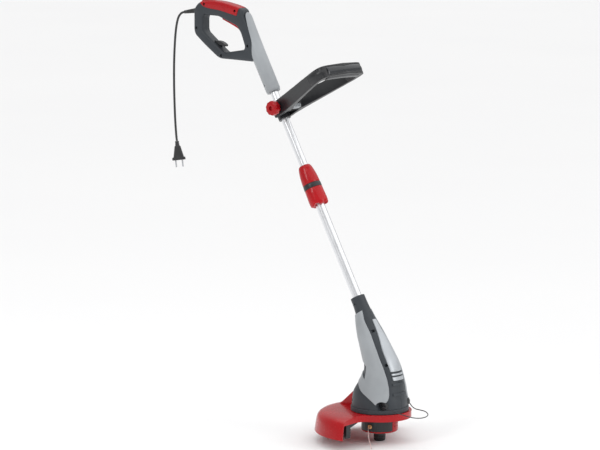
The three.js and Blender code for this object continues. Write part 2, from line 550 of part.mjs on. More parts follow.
const SLEEVE_TURN = 8.4; // degrees the cord's sleeve droops as it leaves the handle
const sleeveRoom = rod(4.8, -14, 4, 16).rotate([0, -90 - SLEEVE_TURN, 0]).translate([-647.2, 0, 1065.7]);
const cableWay = bent([[-650, 0, 1066], [-630, 0, 1069], [-600, 0, 1072], [-545, 0, 1072]], 3.6, 8, 6);
handle = handle.subtract(cableWay).subtract(sleeveRoom);
add("handle_shell_left", handle.intersect(box(-900, 0, -60, -0.15, 700, 1300)), SLATE);
add("handle_shell_right", handle.intersect(box(-900, 0, 0.15, 60, 700, 1300)), SLATE);
const insertHoles = all(...INSERT_SCREWS.map(([x, z]) => cross(3.9, x, z, -40, -4, 16)));
add("grip_insert", insertSkin.subtract(insertHoles).subtract(buttonRoom), RED);
[...HANDLE_SCREWS, ...INSERT_SCREWS].forEach(([x, z], i) =>
  add(`handle_screw_${i + 1}`, seamScrew(x, z, -10.5), STEEL));

// =====================================================================================
// Supply cord: tapered sleeve, hanging cord and two-pin plug
// =====================================================================================
const atSleeve = (made) => made.rotate([0, -90 - SLEEVE_TURN, 0]).translate([-647.2, 0, 1065.7]);
const sleeve = atSleeve(turned([
  [0, -4], [6.6, -4], [6.4, 8], [5.6, 9], [6.2, 10], [6, 16], [5.3, 17], [5.8, 18], [5.6, 24],
  [5, 25], [5.4, 26], [5.2, 34], [4.3, 45.2], [0, 45.2]], 16)).subtract(box(-644.3, -600, -20, 20, 1000,
    1100));
add("strain_relief", sleeve.add(atSleeve(rod(4.4, -12, 0, 16))), RUBBER);
const CORD = [
  [-692.55, 0, 1059.0], [-703, 0, 1056], [-713, 0, 1047.5], [-719.5, 0, 1034], [-724.5, 0, 1014],
    [-728.5, 0, 985],
  [-732.5, 0, 930], [-733.5, 0, 875], [-732.5, 0, 821], [-730, 0, 767], [-726.5, 0, 727],
    [-724.2, 0, 710.6]];
add("supply_cord", bent(CORD, CORD_R, 8, 46), RUBBER);
const PLUG_TILT = 8.5, PLUG_TURN = 25;
const PLUG_ROWS = [
  [0, 0, 0, 4.4, 4.4], [0, -2, 0, 5.6, 5.4], [0, -12, 0, 5.9, 5.6], [0, -15, 0, 8.4, 6.6],
    [0, -24, 0, 10.4, 7.2],
  [0, -36, 0, 13.2, 7.6], [0, -43.5, 0, 15.4, 7.8], [0, -44.5, 0, 18.4, 8.2], [0, -50, 0, 18.9, 8.4],
  [0, -51.5, 0, 18, 7.8]];
const atPlug = (made) => made.rotate([0, 0, PLUG_TURN]).rotate([0, -PLUG_TILT, 0]).translate([-724.15,
  0, 710.2]);
add("plug_body", atPlug(lofted(PLUG_ROWS, 0, 20, 12)), RUBBER);
["plug_pin_1", "plug_pin_2"].forEach((name, i) => add(name, atPlug(turned([
  [0, -70.5], [1.2, -70.3], [2, -69], [2, -51.8], [0, -51.8]], 10).translate([i ? 9.5 : -9.5, 0, 0])),
    STEEL));

// =====================================================================================
// Front handle: clamp on the tube, tilting loop, grip, button, bolt and red knob
// =====================================================================================
const [PX, PZ] = shaftPoint(PIVOT_UP, PIVOT_OUT);
let clamp = all(rod(16.4, -28, 20), box(0, 28, -18, 18, -14, 14).intersect(
  cross(15, PIVOT_OUT, 0, -18, 18, 32).add(box(0, 16, -18, 18, -14, 14))));
clamp = clamp.subtract(rod(UPPER_TUBE_R + GAP, -60, 60)).subtract(box(8, 60, -0.9, 0.9, -60, 60))
  .subtract(cross(3.3, PIVOT_OUT, 0, -40, 40, 20));
add("handle_clamp", onShaft(clamp, PIVOT_UP), BLACK);

// The loop is drawn level with its pivot at the origin, then tipped up and moved to the pivot.
const atPivot = (made) => made.rotate([0, -LOOP_RISE, 0]).translate([PX, 0, PZ]);
const outerPlan = [[-22, 30.5, 6], [12, 31, 20], [150, 67, 30], [200, 80, 18], [234, 79, 16], [238, 0],
  [234, -79, 16],
  [200, -80, 18], [150, -67, 30], [12, -31, 20], [-22, -30.5, 6]];
const innerPlan = [[38, 18.7, 4], [62, 28, 14], [150, 56, 30], [195, 66.5, 12], [206, 64, 6], [210, 0],
  [206, -64, 6],
  [195, -66.5, 12], [150, -56, 30], [62, -28, 14], [38, -18.7, 4]];
const sideFace = [
  [-21, -22, 6], [60, -19.5, 30], [200, -16, 20], [246, -14], [246, 14], [190, 15.5, 20], [60, 17.5, 30],
    [2, 19, 12],
  [-20, 9, 10]];
const gripLine = (reach) => [[217, -reach, 0], [219.6, -reach / 2, 0], [220.6, 0, 0], [219.6, reach / 2, 0],
  [217, reach, 0]];
let loop = floorPlan(outerPlan, -26, 26, 3).subtract(floorPlan(innerPlan, -40, 40))
  .subtract(box(-60, 24, -18.7, 18.7, -40, 40)).subtract(box(20, 60, -18.7, 18.7, -3, 40))
  .intersect(slab(sideFace, -100, 100));
loop = loop.subtract(bent(gripLine(62.4), 18.4, 20, 8)).subtract(box(205, 250, -62.4, 62.4, -30, 30))
  .add(bent(gripLine(64), 8, 12, 8)).subtract(cross(3.3, 0, 0, -60, 60, 16));
const buttonPlace = [[26, -19.5], [26, -6.5], [39, -6.5, 4], [40.5, -12, 3], [38, -19.5, 3]];
loop = loop.subtract(slab(buttonPlace, -14.8, 14.8, { grow: 0.5 })).subtract(box(27, 60, -14.8, 14.8,
  -19.8, -4));
add("front_handle", atPivot(loop), BLACK);
add("front_grip", atPivot(bent(gripLine(62), 18, 20, 8).subtract(bent(gripLine(63), 8.5, 12, 8))), RUBBER);
let button = slab([[29.5, -19], [29.5, -7], [40, -7, 4], [42.5, -12.5, 4], [39, -19, 3]],
  -14.2, 14.2, { round: 1 });
[-9, -3, 3, 9].forEach((y) => { button = button.subtract(box(37, 60, y - 1.3, y + 1.3, -17, 0)); });
add("tilt_button", atPivot(button), LIGHT_GREY);
add("clamp_bolt", atPivot(all(cross(3, 0, 0, -46, 32, 16), cross(6.2, 0, 0, 31.4, 36, 6))), STEEL);
const lobes = [];
for (let i = 0; i < 32; i++) {
  const a = (i / 32) * 2 * Math.PI, r = 18.3 + 1.2 * Math.cos(8 * a);
  lobes.push([r * Math.cos(a), r * Math.sin(a)]);
}
const knobBody = slab(lobes, -55.5, -36, { round: 4 });
add("clamp_knob", atPivot(all(knobBody, cross(11, 0, 0, -37, -32.4, 20)).subtract(cross(3.3, 0, 0,
  -46.5, 0, 12))
  .subtract(cross(6, 0, 0, -70, -50, 16))), RED);

export default trimmer;
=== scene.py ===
"""The looks of a corded string trimmer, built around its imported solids. Metres, +Z up, +X to the front.

The origin is the centre of the underside of the bump knob. Lengths in the tables below are millimetres
and are turned into metres when a mesh is made.
"""

import json
import math

import bmesh
import bpy
from mathutils import Matrix, Vector


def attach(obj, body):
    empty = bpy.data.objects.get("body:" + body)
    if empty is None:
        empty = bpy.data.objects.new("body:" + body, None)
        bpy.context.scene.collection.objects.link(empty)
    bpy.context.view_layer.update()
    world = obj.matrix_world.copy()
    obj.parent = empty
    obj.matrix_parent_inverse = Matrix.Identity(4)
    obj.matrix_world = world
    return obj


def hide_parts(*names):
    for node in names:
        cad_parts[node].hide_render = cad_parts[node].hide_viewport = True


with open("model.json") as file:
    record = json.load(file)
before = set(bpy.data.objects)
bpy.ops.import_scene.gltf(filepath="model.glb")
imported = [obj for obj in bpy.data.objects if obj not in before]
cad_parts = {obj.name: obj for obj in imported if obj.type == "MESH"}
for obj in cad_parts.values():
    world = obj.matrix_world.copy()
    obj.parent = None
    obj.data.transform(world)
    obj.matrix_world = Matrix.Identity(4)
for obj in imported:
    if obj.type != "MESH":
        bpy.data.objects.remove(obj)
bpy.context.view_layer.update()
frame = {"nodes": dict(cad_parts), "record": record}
scene = bpy.context.scene

# ---------------------------------------------------------------- driving dimensions, millimetres
MM = 0.001
GAP = 0.3
LEAN = math.radians(29.85)
SHAFT_FOOT = (-76.8, 0.0, 362.0)
UPPER_TUBE_R = 10.4
LOWER_TUBE_R = 12.0
TUBE_WALL = 1.2
GUARD_FRONT_R = 81.0
GUARD_REAR_R = 166.0
GUARD_TOP = 80.0
GUARD_FOOT = 27.0
GUARD_LIP = 63.5
GUARD_END = 83.8
GUARD_FAR_TURN = 26.2
BASE_R = 72.0
HANDLE_HALF = 16.0
PIVOT_UP, PIVOT_OUT = 533.3, 16.0
LOOP_RISE = math.radians(28.8)
WIRE_AXIS = (50.0, 102.5)
CORD_R = 3.0

SIN, COS = math.sin(LEAN), math.cos(LEAN)

# ---------------------------------------------------------------- camera, metres
CAMERA_TURN, CAMERA_RISE = math.radians(42.5), math.radians(8.5)
CAMERA_OFF = 7.5
CAMERA_AIM = (-0.300, 0.0, 0.550)
SENSOR_MM, LENS_MM = 36.0, 173.08
LENS_SHIFT = (0.0114, -0.0156667)
SEEN_TO = 60.0

# ---------------------------------------------------------------- mesh and studio settings
WELD = 1e-7
EDGE_ANGLE = math.radians(40)
CAD_CREASE = math.radians(30)
FLOOR_HALF = 60000.0
FLOOR_TOP, FLOOR_DEEP = -0.6, -20.0
WORLD_GLOW, SUN_POWER, SUN_SPREAD = 0.55, 1.75, math.radians(110)
SUN_TILT = (math.radians(-14), math.radians(10), 0.0)
LAMP_WATTS = 26.0


# ---------------------------------------------------------------- camera and light
def camera():
    """A long lens, well off, a little above the middle of the tool and well round to its front."""
    turn, rise = CAMERA_TURN, CAMERA_RISE
    back = Vector((math.sin(turn) * math.cos(rise), -math.cos(turn) * math.cos(rise), math.sin(rise)))
    eye = bpy.data.objects.new("camera", bpy.data.cameras.new("camera"))
    scene.collection.objects.link(eye)
    eye.location = Vector(CAMERA_AIM) + CAMERA_OFF * back
    eye.rotation_euler = (math.pi / 2 - rise, 0.0, turn)
    eye.data.sensor_width, eye.data.lens = SENSOR_MM, LENS_MM
    eye.data.shift_x, eye.data.shift_y = LENS_SHIFT
    eye.data.clip_end = SEEN_TO
    scene.camera = eye


def soft_light(name, where, aim, wide, tall):
    """A white rectangular lamp that faces the aim."""
    lamp = bpy.data.lights.new(name, "AREA")
    lamp.energy, lamp.shape, lamp.size, lamp.size_y = LAMP_WATTS, "RECTANGLE", wide, tall
    holder = bpy.data.objects.new(name, lamp)
    scene.collection.objects.link(holder)
    holder.location = where
    holder.rotation_euler = (Vector(aim) - Vector(where)).to_track_quat("-Z", "Y").to_euler()


# ---------------------------------------------------------------- shader maths
class Wire:
    """A shader output that can stand in a Python sum."""

    def __init__(self, look, socket):
        self.look, self.socket = look, socket

    def _math(self, operation, *terms):
        return self.look.node("Math", {"operation": operation}, dict(enumerate(terms)))

    def __add__(self, other):
        return self._math("ADD", self, other)

    def __rsub__(self, other):
        return self._math("SUBTRACT", other, self)

    def __mul__(self, other):
        return self._math("MULTIPLY", self, other)

    __radd__, __rmul__ = __add__, __mul__

    def held(self, low, high):
        """The value, spread so that low becomes 0 and high becomes 1, and held between them."""
        settings = {"clamp": True}
        return self.look.node("MapRange", settings, {0: self, 1: low, 2: high, 3: 0.0, 4: 1.0})


class Look:
    """A material under construction: one Principled shader and the nodes that feed it."""

    def __init__(self, name, colour, roughness, metallic=0.0, **fixed):
        self.material = bpy.data.materials.new(name)
        self.material.use_nodes = True
        self.tree = self.material.node_tree
        self.shader = next(n for n in self.tree.nodes if n.type == "BSDF_PRINCIPLED")
        self.colour = colour
        self.set("Base Color", (*colour, 1.0))
        self.set("Roughness", roughness)
        self.set("Metallic", metallic)
        for socket, value in fixed.items():
            self.set(socket.replace("_", " "), value)
        self.material.diffuse_color = (*colour, 1.0)

    def node(self, kind, settings=None, values=None, out=0):
        made = self.tree.nodes.new("ShaderNode" + kind)
        for key, value in (settings or {}).items():
            setattr(made, key, value)
        for key, value in (values or {}).items():
            if isinstance(value, Wire):
                self.tree.links.new(value.socket, made.inputs[key])
            else:
                made.inputs[key].default_value = value
        return Wire(self, made.outputs[out])

    def set(self, socket, value):
        if isinstance(value, Wire):
            self.tree.links.new(value.socket, self.shader.inputs[socket])
        else:
            self.shader.inputs[socket].default_value = value

    def place(self, stretch=(1.0, 1.0, 1.0), turn=(0.0, 0.0, 0.0)):
        """Where a point is on the object, turned and stretched."""
        where = self.node("TexCoord", out=3)
        return self.node("Mapping", values={"Vector": where, "Rotation": turn, "Scale": stretch})

    def speckle(self, scale, detail=3.0, rough=0.55, where=None):
        values = {"Vector": where or self.place(), "Scale": scale, "Detail": detail, "Roughness": rough}
        return self.node("TexNoise", values=values)

    def blend(self, share, one, other):
        """Colour one where share is 0, colour other where it is 1."""
        settings = {"data_type": "RGBA", "clamp_factor": True}
        full = [c if isinstance(c, Wire) else (*c, 1.0) for c in (one, other)]
        return self.node("Mix", settings, {0: share, 6: full[0], 7: full[1]}, out=2)

    def grain(self, height, strength, depth):
        self.set("Normal", self.node("Bump", values={"Strength": strength, "Distance": depth,
                                                     "Height": height}))


def shade(colour, by):
    return tuple(min(1.0, c * by) for c in colour)


def moulded(name, colour, roughness, grain=0.25, wear=0.10, **fixed):
    """Injection-moulded plastic: fine spark-eroded grain, faint flow marks, handling wear and dust."""
    look = Look(name, colour, roughness, **fixed)
    broad = look.speckle(9.0, 4.0)
    patches = look.speckle(38.0, 5.0, 0.65).held(0.42, 0.72)
    fine = look.speckle(1500.0, 2.0)
    scratches = look.speckle(60.0, 6.0, 0.7, look.place((1.0, 9.0, 1.0), (0.5, 0.3, 0.2))).held(0.60, 0.68)
    tone = look.blend(broad.held(0.3, 0.7), shade(colour, 0.88), shade(colour, 1.13))
    look.set("Base Color", look.blend(patches * wear + scratches * wear * 0.5, tone,
                                      shade(colour, 1.0 + 6 * wear)))
    look.set("Roughness", roughness - 0.05 + 0.10 * broad + 0.60 * wear * patches)
    look.grain(fine + 0.35 * broad, grain, 0.00012)
    return look.material


def glossed(name, colour, roughness):
    """Shiny red ABS: deep colour, slight ripple from the mould, a few dull rubs."""
    look = Look(name, colour, roughness, Specular_IOR_Level=0.22, Coat_Roughness=0.08)
    broad = look.speckle(7.0, 3.0)
    rubs = look.speckle(55.0, 6.0, 0.7).held(0.58, 0.74)
    ripple = look.speckle(120.0, 2.0)
    tone = look.blend(broad.held(0.3, 0.7), shade(colour, 0.86), shade(colour, 1.10))
    look.set("Base Color", look.blend(rubs * 0.08, tone, (0.50, 0.05, 0.05)))
    look.set("Roughness", roughness + 0.05 * broad + 0.16 * rubs)
    look.set("Coat Weight", 0.16 - 0.10 * rubs)
    look.grain(ripple + 0.2 * look.speckle(1700.0, 1.0), 0.10, 0.00020)
    return look.material


def drawn_tube(name, colour, roughness):
    """Anodised tube: die lines along its length, thin smears and a few rub marks from sliding."""
    look = Look(name, colour, roughness, 1.0)
    along = look.place((1.0, 1.0, 0.012), (0.0, LEAN, 0.0))
    lines = look.speckle(1400.0, 3.0, 0.6, along)
    smear = look.speckle(26.0, 4.0, 0.6, look.place((1.0, 1.0, 0.25), (0.0, LEAN, 0.0)))
    rubbed = look.speckle(70.0, 5.0, 0.7, look.place((1.0, 1.0, 0.15), (0.0, LEAN, 0.0))).held(0.60, 0.76)
    tone = look.blend(lines.held(0.25, 0.75), shade(colour, 0.90), shade(colour, 1.06))
    look.set("Base Color", look.blend(rubbed * 0.25, tone, shade(colour, 0.74)))
    look.set("Roughness", roughness - 0.06 + 0.12 * lines + 0.10 * smear.held(0.35, 0.7))
    look.grain(lines, 0.12, 0.00006)
    return look.material


def bare_metal(name, colour, roughness):
    """Turned or pressed metal with fine tool marks and a little tarnish."""
    spots, share = (0.2, 0.1, 0.05), 0.15
    look = Look(name, colour, roughness, 1.0)
    marks = look.speckle(900.0, 3.0, 0.6)
    tarnish = look.speckle(90.0, 6.0, 0.7).held(0.55, 0.75)
    tone = look.blend(marks.held(0.3, 0.7), shade(colour, 0.82), shade(colour, 1.12))
    look.set("Base Color", look.blend(tarnish * share, tone, spots))
    look.set("Roughness", roughness + 0.12 * marks + 0.25 * share * tarnish)
    look.grain(marks, 0.2, 0.00008)
    return look.material


def rubbery(name, colour, roughness):
    """Soft PVC and rubber: matt with a faint sheen, dusty in patches."""
    look = Look(name, colour, roughness, Sheen_Weight=0.12, Sheen_Roughness=0.5)
    broad = look.speckle(24.0, 5.0, 0.6)
    dust = broad.held(0.48, 0.75)
    look.set("Base Color", look.blend(dust * 0.35, colour, shade(colour, 2.4)))
    look.set("Roughness", roughness - 0.06 + 0.14 * broad)
    look.grain(look.speckle(1300.0, 2.0), 0.22, 0.00010)
    return look.material


def pale_floor():
    look = Look("studio_floor", (0.86, 0.86, 0.86), 0.75)
    cloud = look.speckle(0.6, 2.0)
    look.set("Base Color", look.blend(cloud, (0.85, 0.85, 0.855), (0.88, 0.88, 0.88)))
    return look.material


SLATE = moulded("slate_plastic", (0.034, 0.040, 0.047), 0.42, wear=0.06, Specular_IOR_Level=0.35)
GREY = moulded("grey_plastic", (0.325, 0.345, 0.362), 0.38, grain=0.12, wear=0.02, Specular_IOR_Level=0.4)
SILVER = moulded("silver_plastic", (0.42, 0.445, 0.47), 0.34, grain=0.10, wear=0.02, Metallic=0.25)
RED = glossed("red_plastic", (0.40, 0.004, 0.008), 0.24)
BLACK = moulded("black_plastic", (0.012, 0.013, 0.015), 0.34, wear=0.06)
RUBBER = rubbery("black_rubber", (0.016, 0.017, 0.018), 0.50)
GRIP = moulded("grip_plastic", (0.022, 0.024, 0.028), 0.24, grain=0.06, wear=0.05)
ALUMINIUM = drawn_tube("aluminium", (0.80, 0.81, 0.83), 0.27)
STEEL = bare_metal("steel", (0.46, 0.47, 0.49), 0.30)
DARK_STEEL = bare_metal("dark_steel", (0.07, 0.07, 0.075), 0.38)
BRASS = bare_metal("brass", (0.78, 0.40, 0.17), 0.30)
NYLON = moulded("nylon_line", (0.62, 0.47, 0.44), 0.35, grain=0.05, wear=0.05)
PALE = moulded("pale_plastic", (0.66, 0.66, 0.63), 0.45)
FINISHES = {
    "slate_plastic": SLATE, "grey_plastic": GREY, "silver_plastic": SILVER, "red_plastic": RED,
    "black_plastic": BLACK, "black_rubber": RUBBER, "aluminium": ALUMINIUM, "steel": STEEL, "brass": BRASS,
    "blackened_steel": DARK_STEEL, "nylon": NYLON, "pale_plastic": PALE,
}


# ---------------------------------------------------------------- meshes, built in millimetres
def made_of(name, points, faces):
    """A mesh object from points and faces, its faces turned outwards."""
    work = bmesh.new()
    corners = [work.verts.new(Vector(p) * MM) for p in points]
    for face in faces:
        if len(set(face)) > 2:
            try:
                work.faces.new([corners[i] for i in face])
            except ValueError:
                pass
    return finished(name, work)


def finished(name, work):
    bmesh.ops.remove_doubles(work, verts=work.verts, dist=WELD)
    bmesh.ops.recalc_face_normals(work, faces=work.faces)
    mesh = bpy.data.meshes.new(name)
    work.to_mesh(mesh)
    work.free()
    piece = bpy.data.objects.new(name, mesh)
    scene.collection.objects.link(piece)
    return piece


def settle(piece):
    """Makes a piece's modifiers part of its mesh."""
    graph = bpy.context.evaluated_depsgraph_get()
    mesh = bpy.data.meshes.new_from_object(piece.evaluated_get(graph))
    piece.modifiers.clear()
    old, piece.data = piece.data, mesh
    bpy.data.meshes.remove(old)
    return piece


def _combined(piece, other, operation, keep):
    mod = piece.modifiers.new("cut", "BOOLEAN")
    mod.operation, mod.object, mod.solver = operation, other, "MANIFOLD"
    settle(piece)
    if not keep:
        bpy.data.meshes.remove(other.data)
    return piece


def cut(piece, *others, keep=False):
    for other in others:
        _combined(piece, other, "DIFFERENCE", keep)
    return piece


def joined(piece, *others):
    for other in others:
        _combined(piece, other, "UNION", False)
    return piece


def common(piece, other):
    return _combined(piece, other, "INTERSECT", False)


def copied(piece, name, flip=False):
    """Another piece of the same shape, mirrored across the middle plane if asked."""
    other = bpy.data.objects.new(name, piece.data.copy())
    scene.collection.objects.link(other)
    if flip:
        other.data.transform(Matrix.Diagonal((1, -1, 1, 1)))
        other.data.flip_normals()
    return other


def shifted(piece, matrix):
    piece.data.transform(matrix)
    return piece


def move(x, y, z):
    return Matrix.Translation(Vector((x, y, z)) * MM)


def spin(degrees, axis):
    return Matrix.Rotation(math.radians(degrees), 4, axis)


def box(x0, x1, y0, y1, z0, z1):
    points = [(x, y, z) for x in (x0, x1) for y in (y0, y1) for z in (z0, z1)]
    return made_of("box", points, [(0, 1, 3, 2), (4, 6, 7, 5), (0, 4, 5, 1), (2, 3, 7, 6), (0, 2, 6, 4),
                                   (1, 5, 7, 3)])


def turned(profile, sides=96):
    """A turned piece about Z from (radius, z) points; one that starts off the axis closes on itself."""
    points, rings = [], []
    for r, z in profile:
        if r < 1e-6:
            rings.append([len(points)])
            points.append((0.0, 0.0, z))
        else:
            rings.append(list(range(len(points), len(points) + sides)))
            points += [(r * math.cos(2 * math.pi * k / sides), r * math.sin(2 * math.pi * k / sides), z)
                       for k in range(sides)]
    pairs = list(zip(rings, rings[1:])) + ([(rings[-1], rings[0])] if profile[0][0] > 0 else [])
    faces = []
    for low, high in pairs:
        for k in range(sides):
            faces.append([low[k % len(low)], low[(k + 1) % len(low)], high[(k + 1) % len(high)],
                          high[k % len(high)]])
    faces = [list(dict.fromkeys(face)) for face in faces]
    return made_of("turned", points, [face for face in faces if len(face) > 2])


def rod(r, z0, z1, sides=64):
    return turned([(0, z0), (r, z0), (r, z1), (0, z1)], sides)


def cross(r, x, z, y0, y1):
    """A pin across the tool, along Y."""
    return shifted(rod(r, y0, y1, 48), move(x, 0, z) @ spin(-90, "X"))


def eased(corners):
    """Corner points (x, z, radius) as a smooth outline, anticlockwise."""
    steps, out = 7, []
    for i, corner in enumerate(corners):
        here, r = Vector(corner[:2]), (corner[2] if len(corner) > 2 else 0)
        if not r:
            out.append(here)
            continue
        back, on = Vector(corners[i - 1][:2]) - here, Vector(corners[(i + 1) % len(corners)][:2]) - here
        a = here + back.normalized() * min(r, back.length * 0.48)
        b = here + on.normalized() * min(r, on.length * 0.48)
        for k in range(steps + 1):
            t = k / steps
            out.append((1 - t) ** 2 * a + 2 * t * (1 - t) * here + t * t * b)
    area = sum(p.x * q.y - q.x * p.y for p, q in zip(out, out[1:] + out[:1]))
    return out if area > 0 else out[::-1]


def offset(rim, by):
    """An anticlockwise outline moved outwards by a distance, with mitred corners."""
    moved = []
    for i, here in enumerate(rim):
        one, two = (here - rim[i - 1]).normalized(), (rim[(i + 1) % len(rim)] - here).normalized()
        out_one, out_two = Vector((one.y, -one.x)), Vector((two.y, -two.x))
        middle = out_one + out_two
        size = max(middle.length_squared, 0.35)
        moved.append(here + middle * (2 * by / size))
    return moved


def plate(rims, low, high, round_by, grow, place):
    """Outlines (the first outer, others holes) pushed from low to high, with rounded edges."""
    layers = [(low, 0.0), (high, 0.0)]
    if round_by > 0:
        arc = [math.radians(a) for a in (0, 22.5, 45, 67.5, 90)]
        layers = [(low + round_by * (1 - math.sin(a)), round_by * (1 - math.cos(a))) for a in reversed(arc)]
        layers += [(high - round_by * (1 - math.sin(a)), round_by * (1 - math.cos(a))) for a in arc]
    work = bmesh.new()
    stacks = []
    for n, rim in enumerate(rims):
        side = 1 if n == 0 else -1
        stack = []
        for depth, inset in layers:
            outline = offset(rim, side * (grow - inset))
            stack.append([work.verts.new(Vector(place(p.x, p.y, depth)) * MM) for p in outline])
        for lower, upper in zip(stack, stack[1:]):
            for k in range(len(rim)):
                nxt = (k + 1) % len(rim)
                work.faces.new([lower[k], lower[nxt], upper[nxt], upper[k]])
        stacks.append(stack)
    for layer in (0, -1):
        edges = []
        for stack in stacks:
            ring = stack[layer]
            edges += [work.edges.get([ring[k], ring[(k + 1) % len(ring)]]) for k in range(len(ring))]
        bmesh.ops.triangle_fill(work, use_beauty=True, edges=edges)
    return finished("plate", work)


def slab(corners, y0, y1, hole=None, round_by=0.0, grow=0.0):
    rims = [eased(corners)] + ([eased(hole)] if hole else [])
    return plate(rims, y0, y1, round_by, grow, lambda u, v, w: (u, w, v))


def floor_plan(corners, z0, z1, round_by=0.0):
    return plate([eased(corners)], z0, z1, round_by, 0.0, lambda u, v, w: (u, v, w))


def between(rows, t):
    """A row of numbers at 0..1 along a table, smoothly."""
    along = t * (len(rows) - 1)
    i = min(int(along), len(rows) - 2)
    f = along - i
    a, b, d, e = (rows[max(0, min(len(rows) - 1, k))] for k in (i - 1, i, i + 1, i + 2))
    return [0.5 * (2 * q + (r - p) * f
                   + (2 * p - 5 * q + 4 * r - s) * f * f
                   + (3 * q - p - 3 * r + s) * f ** 3) for p, q, r, s in zip(a, b, d, e)]


def lofted(rows, grow=0.0, sides=96, steps=None):
    """A body through sections (x, z, tilt, half depth, half width)."""
    steps = steps or 4 * (len(rows) - 1)
    points = []
    for n in range(steps + 1):
        x, z, tilt, deep, wide = between(rows, n / steps)
        lean = math.radians(tilt)
        for k in range(sides):
            a = 2 * math.pi * k / sides
            out = math.cos(a) * (deep + grow)
            points.append((x + out * math.cos(lean), math.sin(a) * (wide + grow), z + out * math.sin(lean)))
    faces = [list(range(sides)), list(range(steps * sides, (steps + 1) * sides))]
    for n in range(steps):
        for k in range(sides):
            a, b = n * sides + k, n * sides + (k + 1) % sides
            faces.append([a, b, b + sides, a + sides])
    return made_of("loft", points, faces)


def smooth_line(points, count):
    """Points along a smooth line through the given ones."""
    line = [Vector(p) for p in points]
    ends = [2 * line[0] - line[1], *line, 2 * line[-1] - line[-2]]
    knots = [0.0]
    for a, b in zip(ends, ends[1:]):
        knots.append(knots[-1] + max(math.sqrt((b - a).length), 1e-6))
    out = []
    spans = [(ends[i:i + 4], knots[i:i + 4]) for i in range(len(ends) - 3)]
    total = knots[-2] - knots[1]
    for n in range(count):
        t = knots[1] + total * n / (count - 1)
        (p0, p1, p2, p3), (t0, t1, t2, t3) = next((s for s in spans if t <= s[1][2] + 1e-9), spans[-1])
        a1 = p0 * ((t1 - t) / (t1 - t0)) + p1 * ((t - t0) / (t1 - t0))
        a2 = p1 * ((t2 - t) / (t2 - t1)) + p2 * ((t - t1) / (t2 - t1))
        a3 = p2 * ((t3 - t) / (t3 - t2)) + p3 * ((t - t2) / (t3 - t2))
        b1 = a1 * ((t2 - t) / (t2 - t0)) + a2 * ((t - t0) / (t2 - t0))
        b2 = a2 * ((t3 - t) / (t3 - t1)) + a3 * ((t - t1) / (t3 - t1))
        out.append(b1 * ((t2 - t) / (t2 - t1)) + b2 * ((t - t1) / (t2 - t1)))
    return out


def swept(line, radii, sides=24):
    """A round body along a line of points; radii is one radius, or one for each point."""
    radii = radii if isinstance(radii, list) else [radii] * len(line)
    points, side = [], None
    for i, here in enumerate(line):
        ahead = (line[min(i + 1, len(line) - 1)] - line[max(i - 1, 0)]).normalized()
        if side is None:
            side = ahead.cross(Vector((0.0, 0.3, 1.0))).normalized()
        side = (side - ahead * side.dot(ahead)).normalized()
        other = ahead.cross(side)
        for k in range(sides):
            a = 2 * math.pi * k / sides
            points.append(here + radii[i] * (side * math.cos(a) + other * math.sin(a)))
    faces = [list(range(sides)), list(range((len(line) - 1) * sides, len(line) * sides))]
    for n in range(len(line) - 1):
        for k in range(sides):
            a, b = n * sides + k, n * sides + (k + 1) % sides
            faces.append([a, b, b + sides, a + sides])
    return made_of("swept", points, faces)


def bent(points, radius, sides=24, count=48):
    return swept(smooth_line(points, count), radius, sides)


SHAFT = move(*SHAFT_FOOT) @ Matrix.Rotation(-LEAN, 4, "Y")
PIVOT = (SHAFT_FOOT[0] - SIN * PIVOT_UP + COS * PIVOT_OUT, SHAFT_FOOT[2] + COS * PIVOT_UP + SIN * PIVOT_OUT)
LOOP = move(PIVOT[0], 0, PIVOT[1]) @ Matrix.Rotation(-LOOP_RISE, 4, "Y")


def on_shaft(piece):
    return shifted(piece, SHAFT)


def at(up, out):
    """The x and z of a place so far up the shaft and so far in front of its middle."""
    return SHAFT_FOOT[0] - SIN * up + COS * out, SHAFT_FOOT[2] + COS * up + SIN * out


def gathered(first, *others):
    """Several separate bodies as one piece."""
    work = bmesh.new()
    for piece in (first, *others):
        work.from_mesh(piece.data)
    work.to_mesh(first.data)
    work.free()
    for piece in others:
        bpy.data.meshes.remove(piece.data)
    return first


def softened(piece, cell, rounds, kept):
    """A piece with its edges melted round: remade in small cells, smoothed and thinned out."""
    cells = piece.modifiers.new("cells", "REMESH")
    cells.mode, cells.voxel_size = "VOXEL", cell * MM
    soft = piece.modifiers.new("soft", "SMOOTH")
    soft.iterations, soft.factor = rounds, 0.5
    thin = piece.modifiers.new("thin", "DECIMATE")
    thin.ratio = kept
    return settle(piece)


def shown(piece, name, body, finish, stands_for=(), crease=32.0, edge=0.0):
    """Names a piece, rounds its edges a little, gives it its finish and fixes it to a body."""
    piece.name = piece.data.name = name
    if edge:
        soft = piece.modifiers.new("edge", "BEVEL")
        soft.width, soft.segments, soft.limit_method = edge * MM, 2, "ANGLE"
        soft.angle_limit = EDGE_ANGLE
        settle(piece)
    mesh = piece.data
    mesh.materials.clear()
    mesh.materials.append(finish)
    mesh.polygons.foreach_set("use_smooth", [True] * len(mesh.polygons))
    mesh.set_sharp_from_angle(angle=math.radians(crease))
    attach(piece, body)
    if stands_for:
        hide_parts(*stands_for)
    return piece


